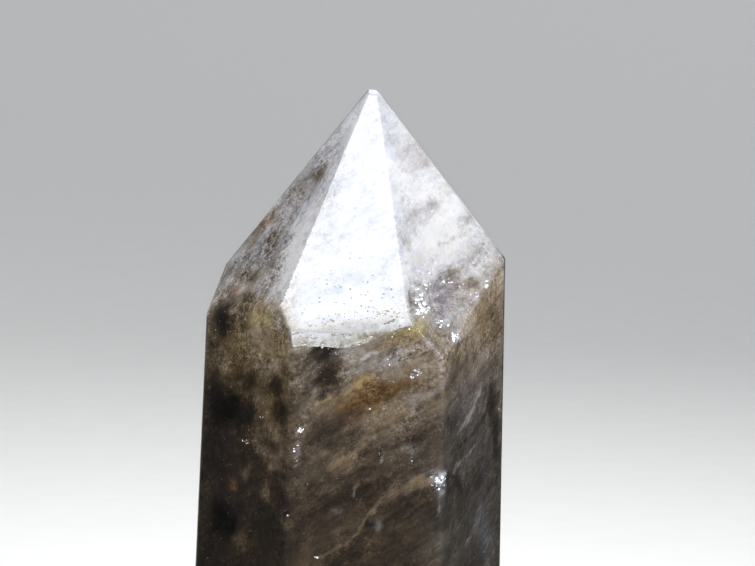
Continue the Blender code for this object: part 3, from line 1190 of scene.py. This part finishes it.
def flakes(name, material, middles, normals, sizes, draw, corners=FLAKE_CORNERS):
    """Small uneven polygons, slightly domed: each has corners round its middle, in the plane
    across its normal, at uneven radii."""
    count = len(middles)
    aslant = np.abs(normals[:, 2:3]) < 0.9
    help_way = np.where(aslant, [[0.0, 0.0, 1.0]], [[1.0, 0.0, 0.0]])
    side = unit(np.cross(help_way, normals))
    rise = np.cross(normals, side)
    turn = np.linspace(0.0, 2.0 * math.pi, corners, endpoint=False) + draw.uniform(0.0, 6.3, (count, 1))
    radius = sizes[:, None] * draw.uniform(0.45, 1.0, (count, corners))
    slim = draw.uniform(0.3, 0.9, (count, 1, 1))
    ways = np.cos(turn)[..., None] * side[:, None] + slim * np.sin(turn)[..., None] * rise[:, None]
    rim = middles[:, None] + radius[..., None] * ways
    crown = middles + normals * sizes[:, None] * 0.06
    vertices = np.concatenate([rim, crown[:, None]], axis=1).reshape(-1, 3)
    fan = np.array(cone_faces(np.arange(corners), corners))
    faces = (fan[None] + (np.arange(count) * (corners + 1))[:, None, None]).reshape(-1, 3)
    return on_crystal(make_object(name, vertices, faces.tolist(), [material], smooth=False))


def bright_flakes(material):
    """Fresh inner cracks that flash: flakes turned so that they mirror a lamp to the camera, and
    on the sides that the photograph doesn't show, at seeded places, straight out of their facet.
    They lie less deep near the crystal's edges, as the cloud does."""
    draw = np.random.default_rng(17)
    middles, normals, sizes = [], [], []
    for column, row, count, spread, size in GLINTS:
        for _ in range(count):
            shift = draw.normal(0.0, spread, 2)
            depth = draw.uniform(0.3, 0.9) * MM
            share = float(edge_share(seen_at(column + shift[0], row + shift[1], depth)))
            point = seen_at(column + shift[0], row + shift[1], depth * (0.3 + 0.7 * share))
            normal = -(inward_ray(column, row) + inward_light(point)) + draw.normal(0.0, FLAKE_TILT, 3)
            middles.append(point)
            normals.append(unit(normal))
            sizes.append(size * draw.uniform(*FLAKE_SIZES) * MM)
    for _ in range(HIDDEN_GLINTS):
        middle = point_at(draw.uniform(*HIDDEN_SIDES), draw.uniform(8.0, 94.0), 0.6 * MM)
        facing = nearest_normal(middle)
        for _ in range(draw.integers(1, 9)):
            normal = facing - inward_light(middle) + draw.normal(0.0, FLAKE_TILT, 3)
            middles.append(middle + draw.normal(0.0, 0.4, 3) * (1.0 - facing**2) * MM)
            normals.append(unit(normal))
            sizes.append(draw.uniform(0.08, 0.26) * MM)
    glints = flakes("bright_flakes", material, np.array(middles), np.array(normals), np.array(sizes), draw)
    set_attributes(glints, shade=np.repeat(draw.uniform(0.05, 1.0, len(middles)), FLAKE_CORNERS + 1))
    return glints


def mineral_specks(material):
    """Dust of pale specks and tiny cracks all through the outer crystal, at any tilt, paler and
    denser high up."""
    draw = np.random.default_rng(19)
    count = PLAIN_SPECKS + HIGH_SPECKS
    angle = draw.uniform(0.0, 2.0 * math.pi, count)
    plain = draw.uniform(2.0, 97.0, PLAIN_SPECKS)
    high = HIGH_SPECKS_FROM + 36.0 * draw.uniform(0.0, 1.0, HIGH_SPECKS) ** 1.6
    height = np.append(plain, high) * MM
    depth = draw.uniform(0.25, 1.0, count) * MM
    middles = surface_points(angle, height, depth)
    normals = unit(blended_normals(middles) + draw.normal(0.0, 0.35, (count, 3)))
    sizes = np.exp(draw.normal(math.log(SPECK_SIZE), 0.4, count)) * grains(middles) ** 0.6 * MM
    specks = flakes("mineral_specks", material, middles, normals, sizes, draw, SPECK_CORNERS)
    pale = draw.uniform(0.0, 1.0, count) ** 2 * np.where(middles[:, 2] > HIGH_SPECKS_FROM * MM, 1.0, 0.7)
    each = SPECK_CORNERS + 1
    set_attributes(specks, tint=np.repeat(tints(middles), each, axis=0), shade=np.repeat(pale, each))
    return specks


def polish_marks(material):
    """Pits that the polish didn't reach and chips along the ledge: tiny dull patches a hair's
    breadth above the skin. The grey of the pits is partly painted shade, for the shade inside them."""
    draw = np.random.default_rng(23)
    middles, normals, sizes, shades = [], [], [], []
    for first, last, count, spread, size, shade in MARKS:
        for share in draw.uniform(0.0, 1.0, count):
            column = first[0] + (last[0] - first[0]) * share + draw.normal(0.0, spread)
            row = first[1] + (last[1] - first[1]) * share + draw.normal(0.0, spread)
            point = seen_at(column, row, 0.0)
            normal = nearest_normal(point)
            middles.append(point + normal * MARK_LIFT)
            normals.append(normal)
            sizes.append(size * draw.uniform(*FLAKE_SIZES) * MM)
            shades.append(shade * draw.uniform(0.6, 1.2))
    marks = flakes("polish_marks", material, np.array(middles), np.array(normals), np.array(sizes), draw)
    set_attributes(marks, shade=np.repeat(np.clip(shades, 0.0, 1.0), FLAKE_CORNERS + 1))
    return marks


def smoke_material():
    """Quartz clouded by gas bubbles and colour centres: soft brown drifts along the growth layers,
    finer threads in them and a fine mottling, with bright granules where the cloud is grainy. The
    grain comes and goes in patches of 4 mm.

    The noises are summed to a power of two that multiplies the odds of the tint, its share of
    light to the rest: tint times factor, over one more than tint times (factor less one). So the
    tint never leaves the range from black to white. The wisps lie over it, broken up in flecks."""
    material, tree = new_material("smoky quartz, clouded")
    place = add(tree, "TexCoord").outputs["Object"]
    parts = add(tree, "SeparateXYZ", Vector=place).outputs
    layer = add(tree, "Attribute", {"attribute_name": "growth"}).outputs["Fac"]
    layered = add(tree, "CombineXYZ", X=parts["X"], Y=parts["Y"], Z=layer)
    whole = add(tree, "Attribute", {"attribute_name": "grain"}).outputs["Fac"]
    patches = add(tree, "TexNoise", Vector=layered, Scale=260.0, Detail=3.0, Roughness=0.6)
    calm = add(tree, "MapRange", Value=patches, From_Min=0.36, From_Max=0.62, To_Min=0.35, To_Max=1.6)
    grain = add(tree, "Math", {"operation": "MULTIPLY"}, i0=whole, i1=calm)
    total = 0.0
    # Drifts of 9 by 3 mm, threads of 2.4 by 0.7 mm, blotches of 2.3 mm, and grains from 1 to 0.2 mm.
    for vector, scale, detail, weight, grainy in (
        (layered, (110.0, 110.0, 330.0), 5.0, 0.8, False),
        (layered, (420.0, 420.0, 1400.0), 4.0, 0.45, False),
        (place, (430.0, 430.0, 430.0), 6.0, 0.75, False),
        (layered, (900.0, 900.0, 1300.0), 4.0, 0.4, True),
        (place, (2200.0, 2200.0, 2200.0), 3.0, 0.4, True),
        (place, (5000.0, 5000.0, 5000.0), 2.0, 0.35, True),
    ):
        sized = add(tree, "VectorMath", {"operation": "MULTIPLY"}, i0=vector, i1=scale)
        noise = add(tree, "TexNoise", Vector=sized, Scale=1.0, Detail=detail, Roughness=0.6, Distortion=0.3)
        part = add(tree, "Math", {"operation": "SUBTRACT"}, i0=noise, i1=0.5)
        if grainy:
            part = add(tree, "Math", {"operation": "MULTIPLY"}, i0=part, i1=grain)
        total = add(tree, "Math", {"operation": "MULTIPLY_ADD"}, i0=part, i1=weight, i2=total)
    granules = add(tree, "TexNoise", Vector=place, Scale=2600.0, Detail=3.0, Roughness=0.6)
    bright = add(tree, "MapRange", Value=granules, From_Min=0.58, From_Max=0.72, To_Max=0.16)
    total = add(tree, "Math", {"operation": "MULTIPLY_ADD"}, i0=bright, i1=grain, i2=total)
    power = add(tree, "Math", {"operation": "MULTIPLY"}, i0=total, i1=CLOUD_CONTRAST)
    factor = add(tree, "Math", {"operation": "POWER"}, i0=2.0, i1=power)
    more = add(tree, "Math", {"operation": "SUBTRACT"}, i0=factor, i1=1.0)
    tint = add(tree, "Attribute", {"attribute_name": "tint"}).outputs["Vector"]
    scaled = add(tree, "VectorMath", {"operation": "SCALE"}, i0=tint, Scale=factor)
    extra = add(tree, "VectorMath", {"operation": "SCALE"}, i0=tint, Scale=more)
    odds = add(tree, "VectorMath", {"operation": "ADD"}, i0=extra, i1=(1.0, 1.0, 1.0))
    cloud = add(tree, "VectorMath", {"operation": "DIVIDE"}, i0=scaled, i1=odds)
    veil = add(tree, "Attribute", {"attribute_name": "veil"}).outputs
    sized = add(tree, "VectorMath", {"operation": "MULTIPLY"}, i0=layered, i1=VEIL_FLECKS)
    flecks = add(tree, "TexNoise", Vector=sized, Scale=1.0, Detail=6.0, Roughness=0.7)
    shown = add(tree, "Math", {"operation": "MULTIPLY_ADD"}, i0=flecks, i1=2.6, i2=veil["Alpha"])
    share = add(tree, "MapRange", Value=shown, From_Min=1.5, From_Max=2.6, To_Max=0.95)
    colour = add(tree, "Mix", {"data_type": "RGBA"}, i0=share, i6=cloud, i7=veil["Color"]).outputs[2]
    add(tree, "OutputMaterial", Surface=add(tree, "BsdfPrincipled", Base_Color=colour, Roughness=0.9))
    return material


def fracture_material():
    """A healed crack: a film of tiny bubbles, paler than the cloud round it and broken up in
    pieces of 1 mm."""
    material, tree = new_material("healed crack, bubble film")
    place = add(tree, "TexCoord").outputs["Object"]
    tint = add(tree, "Attribute", {"attribute_name": "tint"})
    pale = add(tree, "Mix", {"data_type": "RGBA"}, i0=0.22, i6=tint, i7=linear("#e6e0da")).outputs[2]
    noise = add(tree, "TexNoise", Vector=place, Scale=900.0, Detail=4.0, Roughness=0.6)
    alpha = add(tree, "MapRange", Value=noise, From_Min=0.45, From_Max=0.55)
    shader = add(tree, "BsdfPrincipled", Base_Color=pale, Roughness=0.6, Alpha=alpha)
    add(tree, "OutputMaterial", Surface=shader)
    return material


def speck_material():
    """Mineral dust and tiny cracks: some as dark as the cloud round them, most much paler."""
    material, tree = new_material("mineral dust")
    place = add(tree, "TexCoord").outputs["Object"]
    tint = add(tree, "Attribute", {"attribute_name": "tint"}).outputs["Vector"]
    noise = add(tree, "TexNoise", Vector=place, Scale=600.0, Detail=2.0)
    dim = add(tree, "MapRange", Value=noise, From_Min=0.35, From_Max=0.65, To_Min=0.3, To_Max=1.2)
    dark = add(tree, "VectorMath", {"operation": "SCALE"}, i0=tint, Scale=dim)
    shade = add(tree, "Attribute", {"attribute_name": "shade"}).outputs["Fac"]
    pale = add(tree, "Mix", {"data_type": "RGBA"}, i0=shade, i6=dark, i7=linear("#f2ede6")).outputs[2]
    add(tree, "OutputMaterial", Surface=add(tree, "BsdfPrincipled", Base_Color=pale, Roughness=0.5))
    return material


def mark_material():
    """Quartz with a broken, frosted surface: dull, from brownish grey to bluish white. The darker
    greys are partly painted shade, for the shade inside the pits.
    """
    material, tree = new_material("smoky quartz, chipped, with painted pit shade")
    place = add(tree, "TexCoord").outputs["Object"]
    shade = add(tree, "Attribute", {"attribute_name": "shade"}).outputs["Fac"]
    noise = add(tree, "TexNoise", Vector=place, Scale=3000.0, Detail=2.0)
    spread = add(tree, "Math", {"operation": "MULTIPLY_ADD"}, i0=noise, i1=0.3, i2=shade)
    ramp = add(tree, "ValToRGB", Fac=spread)
    for element, (position, code) in zip(ramp.color_ramp.elements, ((0.1, "#554e45"), (1.0, "#dcd9d3"))):
        element.position = position
        element.color = linear(code)
    ramp.color_ramp.elements.new(0.6).color = linear("#8f897e")
    add(tree, "OutputMaterial", Surface=add(tree, "BsdfPrincipled", Base_Color=ramp, Roughness=0.6))
    return material


def glint_material():
    """An air film in a fresh crack, which mirrors light totally: bright, slightly wavy flashes."""
    material, tree = new_material("fresh crack, air film")
    place = add(tree, "TexCoord").outputs["Object"]
    noise = add(tree, "TexNoise", Vector=place, Scale=1500.0, Detail=2.0)
    rough = add(tree, "MapRange", Value=noise, To_Min=0.15, To_Max=0.4)
    shade = add(tree, "Attribute", {"attribute_name": "shade"}).outputs["Fac"]
    colour = add(tree, "Mix", {"data_type": "RGBA"}, i0=shade, i6=linear("#5c5a60"), i7=linear("#f4f6fc"))
    shader = add(tree, "BsdfPrincipled", Base_Color=colour.outputs[2], Metallic=1.0, Roughness=rough)
    add(tree, "OutputMaterial", Surface=shader)
    return material


# Studio

KEY_PLACE = (0.40, -0.45, 0.40)
FILL_PLACE = (-0.25, -0.05, 0.60)
BACK_PLACE = (0.05, 0.60, 0.45)
# Softboxes: place, the point that they look at, size, watts and spread in degrees.
SOFTBOXES = {
    "key softbox": (KEY_PLACE, (0.0, 0.0, 0.07), 0.45, 0.7, 50.0),
    "fill softbox": (FILL_PLACE, (0.0, 0.0, 0.085), 0.25, 0.27, 60.0),
    "back softbox": (BACK_PLACE, (0.0, 0.0, 0.06), 0.4, 0.22, 60.0),
}
# The middle of the front facet of the point, and the softbox that it mirrors to the camera.
MIRROR_MIDDLE = (0.0, -8.0 * MM, 84.0 * MM)
MIRRORED_DISTANCE = 0.5
MIRRORED_SIZE = 0.22
MIRRORED_POWER = 0.62
# The surround is dark round this direction, which the left facet of the point mirrors. It darkens
# between these cosines of the angle to it.
FLAG_WAY = (-0.673, 0.605, 0.424)
FLAG_RIM = (0.78, 0.9)
# The floor's rings in metres, and the points on each.
FLOOR_RINGS = (40.0, 8.0, 2.0, 0.5)
FLOOR_AROUND = 96


def studio_floor():
    """A flat pale floor that runs to the horizon, on which the base rests."""
    angles = np.linspace(0.0, 2.0 * math.pi, FLOOR_AROUND, endpoint=False)
    rings = np.array(FLOOR_RINGS)[:, None]
    flat = np.zeros((len(FLOOR_RINGS), FLOOR_AROUND))
    grid = np.stack([rings * np.cos(angles), rings * np.sin(angles), flat], axis=-1)
    vertices = np.concatenate([grid.reshape(-1, 3), np.zeros((1, 3))])
    faces = disc_faces(len(FLOOR_RINGS), FLOOR_AROUND)
    floor = make_object("studio_floor", vertices, faces, [floor_material()])
    floor.visible_glossy = False


def soft_light(name, place, target, size, power, spread):
    """A square softbox at place that looks at target, with a grid that narrows its beam to spread degrees."""
    lamp = bpy.data.lights.new(name, "AREA")
    lamp.shape = "SQUARE"
    lamp.size = size
    lamp.energy = power
    lamp.spread = math.radians(spread)
    thing = bpy.data.objects.new(name, lamp)
    back = unit(np.array(place) - np.array(target))
    side = unit(np.cross([0.0, 1.0, 0.0] if abs(back[1]) < 0.95 else [1.0, 0.0, 0.0], back))
    turn = Matrix(np.stack([side, np.cross(back, side), back], axis=-1).tolist()).to_4x4()
    turn.translation = place
    thing.matrix_world = turn
    thing.visible_camera = False
    bpy.context.scene.collection.objects.link(thing)
    return thing


def mirrored_light():
    """A softbox where the front facet of the point mirrors it to the camera, which shows on
    polished surfaces only."""
    facet = normal_of("point_front")
    middle = np.array(MIRROR_MIDDLE)
    towards = unit(camera_axes()[0] - middle)
    place = tuple(middle + (2.0 * (facet @ towards) * facet - towards) * MIRRORED_DISTANCE)
    thing = soft_light("front facet softbox", place, MIRROR_MIDDLE, MIRRORED_SIZE, MIRRORED_POWER, 180.0)
    thing.visible_diffuse = False
    thing.visible_transmission = False


def studio_lights():
    """A soft key light in front, above and to the right, a weaker one above on the left, one
    behind, one that the front facet of the point mirrors, and a pale surround, dark below the
    horizon and in a round flag at the back left."""
    for name, values in SOFTBOXES.items():
        soft_light(name, *values)
    mirrored_light()
    world = bpy.data.worlds.new("studio")
    world.use_nodes = True
    tree = world.node_tree
    way = add(tree, "TexCoord").outputs["Generated"]
    height = add(tree, "SeparateXYZ", Vector=way).outputs["Z"]
    above = add(tree, "MapRange", Value=height, From_Min=-0.02, From_Max=0.05, To_Min=0.03, To_Max=0.75)
    facing = add(tree, "VectorMath", {"operation": "DOT_PRODUCT"}, i0=way, i1=FLAG_WAY).outputs["Value"]
    clear, dark = FLAG_RIM
    flag = add(tree, "MapRange", Value=facing, From_Min=clear, From_Max=dark, To_Min=1.0, To_Max=0.05)
    strength = add(tree, "Math", {"operation": "MULTIPLY"}, i0=above, i1=flag)
    shade = tree.nodes["Background"]
    shade.inputs["Color"].default_value = (0.95, 0.97, 1.0, 1.0)
    tree.links.new(strength.outputs["Value"], shade.inputs["Strength"])
    bpy.context.scene.world = world


def studio_camera():
    """The camera at the photograph's place, rolled as it was held."""
    lens = bpy.data.cameras.new("photo camera")
    lens.sensor_width = SENSOR_WIDTH
    lens.lens = CAMERA_DISTANCE / PIXEL * SENSOR_WIDTH / PHOTO_WIDTH
    lens.clip_start = 0.01
    lens.clip_end = 100.0
    eye, right, up, back = camera_axes()
    thing = bpy.data.objects.new("photo camera", lens)
    place = Matrix(np.stack([right, up, back], axis=-1).tolist()).to_4x4()
    place.translation = eye
    thing.matrix_world = place
    bpy.context.scene.collection.objects.link(thing)
    bpy.context.scene.camera = thing
    bpy.context.scene.view_settings.view_transform = "Standard"


crystal_skin(polished_quartz(), ground_quartz())
smoky_cloud(smoke_material())
healed_fractures(fracture_material())
mineral_specks(speck_material())
bright_flakes(glint_material())
polish_marks(mark_material())
studio_floor()
studio_lights()
studio_camera()
